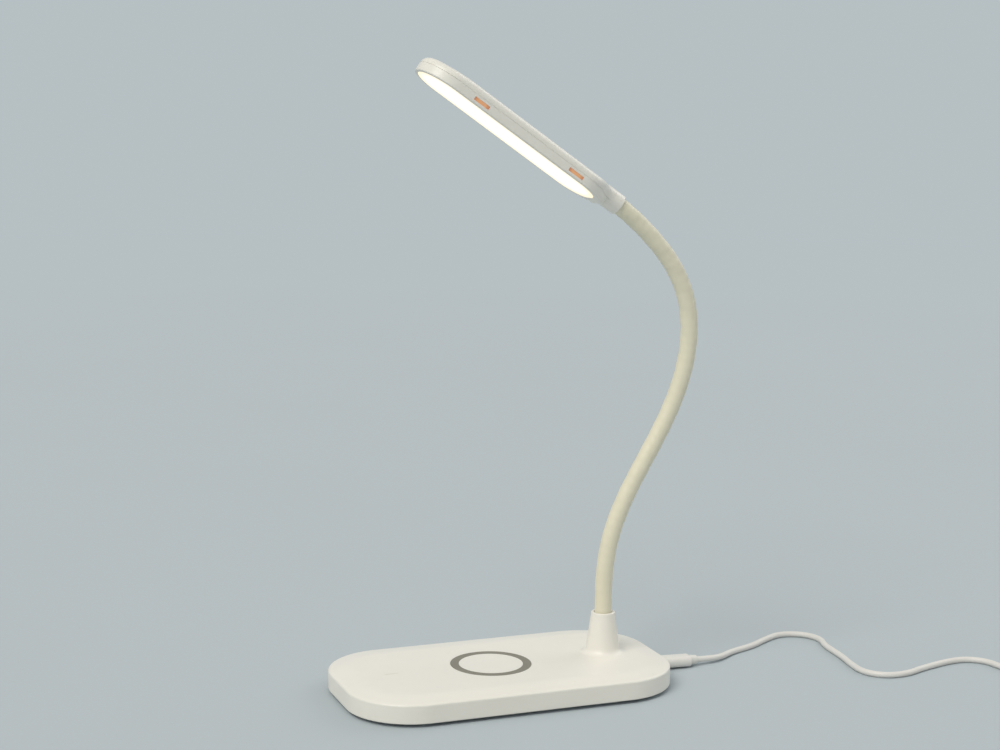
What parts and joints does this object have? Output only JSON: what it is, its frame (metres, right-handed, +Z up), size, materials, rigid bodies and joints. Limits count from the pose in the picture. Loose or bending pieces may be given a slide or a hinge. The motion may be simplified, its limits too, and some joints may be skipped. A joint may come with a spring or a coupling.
{
  "type": "gooseneck desk lamp with charging base",
  "caption": "Desk lamp with a slim glowing head on a bendable neck, standing on a flat stadium-shaped base with a wireless charging ring and a USB lead.",
  "frame": {"origin": "on the table under the middle of the base, in the plane of the feet", "axes": "+X along the base towards the neck and the lead, +Y across the base, away from the viewer, +Z up"},
  "size_m": [0.4498, 0.1823, 0.3509],
  "materials": {
    "white_housing": "satin moulded",
    "white_floor": "fine spark-eroded texture",
    "foot_rubber": "matt",
    "ring_grey": "matt",
    "key_grey": "matt",
    "coil_copper": "enamelled wire",
    "ferrite": "sintered",
    "ballast_steel": "cut plate",
    "board_green": "lacquered",
    "board_white": "lacquered",
    "plug_steel": "nickel plated",
    "zinc_fitting": "plated",
    "plug_white": "soft moulded",
    "cord_white": "satin",
    "tie_white": "woven strap",
    "diffuser": "opal, lit from within",
    "amber_light": "lit from within",
    "emitter": "lit",
    "neck_skin": "soft-touch",
    "neck_steel": "wound steel"
  },
  "bodies": {
    "base": {"base_top_cover": "white_housing", "base_bottom_cover": "white_floor", "rubber_foot_1": "foot_rubber", "rubber_foot_2": "foot_rubber", "rubber_foot_3": "foot_rubber", "rubber_foot_4": "foot_rubber", "rubber_foot_5": "foot_rubber", "charging_ring": "ring_grey", "charging_coil": "coil_copper", "ferrite_plate": "ferrite", "touch_key": "key_grey", "ballast_plate": "ballast_steel", "circuit_board": "board_green", "usb_inlet": "plug_steel", "neck_ferrule": "zinc_fitting", "neck_nut": "zinc_fitting", "neck_sleeve_root": "neck_skin", "neck_core_root": "neck_steel", "usb_plug_shell": "plug_steel", "usb_plug_grip": "plug_white", "usb_plug_relief": "cord_white", "cord_free": "cord_white", "cord_coil": "cord_white", "coil_tie": "tie_white", "cord_tail": "cord_white", "end_plug_relief": "cord_white", "end_plug_grip": "plug_white", "end_plug_shell": "plug_steel"},
    "neck_01": {"neck_sleeve_01": "neck_skin", "neck_core_01": "neck_steel"},
    "neck_02": {"neck_sleeve_02": "neck_skin", "neck_core_02": "neck_steel"},
    "neck_03": {"neck_sleeve_03": "neck_skin", "neck_core_03": "neck_steel"},
    "neck_04": {"neck_sleeve_04": "neck_skin", "neck_core_04": "neck_steel"},
    "neck_05": {"neck_sleeve_05": "neck_skin", "neck_core_05": "neck_steel"},
    "neck_06": {"neck_sleeve_06": "neck_skin", "neck_core_06": "neck_steel"},
    "neck_07": {"neck_sleeve_07": "neck_skin", "neck_core_07": "neck_steel"},
    "neck_08": {"neck_sleeve_08": "neck_skin", "neck_core_08": "neck_steel"},
    "neck_09": {"neck_sleeve_09": "neck_skin", "neck_core_09": "neck_steel"},
    "neck_10": {"neck_sleeve_10": "neck_skin", "neck_core_10": "neck_steel"},
    "neck_11": {"neck_sleeve_11": "neck_skin", "neck_core_11": "neck_steel"},
    "head": {"neck_sleeve_12": "neck_skin", "neck_core_12": "neck_steel", "head_ferrule": "zinc_fitting", "head_top_cover": "white_housing", "head_lower_frame": "white_housing", "head_diffuser": "diffuser", "head_slot_tongues": "amber_light", "head_light_board": "board_white", "head_leds": "emitter"}
  },
  "joints": [
    {"name": "lower_bend_01", "type": "hinge", "parent": "base", "child": "neck_01", "pos_m": [0.06305, 0, 0.051], "axis": [0, 1, 0], "range_deg": [-10, 10]},
    {"name": "lower_bend_02", "type": "hinge", "parent": "neck_01", "child": "neck_02", "pos_m": [0.06475, 0, 0.07191], "axis": [0, 1, 0], "range_deg": [-10, 10]},
    {"name": "lower_lean_03", "type": "hinge", "parent": "neck_02", "child": "neck_03", "pos_m": [0.07023, 0, 0.09214], "axis": [0.9336, 0, -0.3584], "range_deg": [-10, 10]},
    {"name": "lower_bend_04", "type": "hinge", "parent": "neck_03", "child": "neck_04", "pos_m": [0.07905, 0, 0.11118], "axis": [0, 1, 0], "range_deg": [-10, 10]},
    {"name": "lower_bend_05", "type": "hinge", "parent": "neck_04", "child": "neck_05", "pos_m": [0.0894, 0, 0.12945], "axis": [0, 1, 0], "range_deg": [-10, 10]},
    {"name": "lower_lean_06", "type": "hinge", "parent": "neck_05", "child": "neck_06", "pos_m": [0.0995, 0, 0.14786], "axis": [0.8902, 0, -0.4555], "range_deg": [-10, 10]},
    {"name": "upper_bend_07", "type": "hinge", "parent": "neck_06", "child": "neck_07", "pos_m": [0.10777, 0, 0.16715], "axis": [0, 1, 0], "range_deg": [-14, 12]},
    {"name": "upper_bend_08", "type": "hinge", "parent": "neck_07", "child": "neck_08", "pos_m": [0.11272, 0, 0.18752], "axis": [0, 1, 0], "range_deg": [-14, 12]},
    {"name": "upper_lean_09", "type": "hinge", "parent": "neck_08", "child": "neck_09", "pos_m": [0.11288, 0, 0.20846], "axis": [0.9923, 0, 0.1236], "range_deg": [-14, 14]},
    {"name": "upper_bend_10", "type": "hinge", "parent": "neck_09", "child": "neck_10", "pos_m": [0.10686, 0, 0.22847], "axis": [0, 1, 0], "range_deg": [-14, 12]},
    {"name": "upper_bend_11", "type": "hinge", "parent": "neck_10", "child": "neck_11", "pos_m": [0.09522, 0, 0.24589], "axis": [0, 1, 0], "range_deg": [-14, 12]},
    {"name": "upper_lean_12", "type": "hinge", "parent": "neck_11", "child": "head", "pos_m": [0.08048, 0, 0.26082], "axis": [0.6665, 0, 0.7455], "range_deg": [-14, 14]}
  ],
  "couplings": [
    {"joint": "lower_bend_02", "follows": "lower_bend_01", "ratio": 1},
    {"joint": "lower_bend_04", "follows": "lower_bend_01", "ratio": 1},
    {"joint": "lower_bend_05", "follows": "lower_bend_01", "ratio": 1},
    {"joint": "lower_lean_06", "follows": "lower_lean_03", "ratio": 1},
    {"joint": "upper_bend_08", "follows": "upper_bend_07", "ratio": 1},
    {"joint": "upper_bend_10", "follows": "upper_bend_07", "ratio": 1},
    {"joint": "upper_bend_11", "follows": "upper_bend_07", "ratio": 1},
    {"joint": "upper_lean_12", "follows": "upper_lean_09", "ratio": 1}
  ]
}
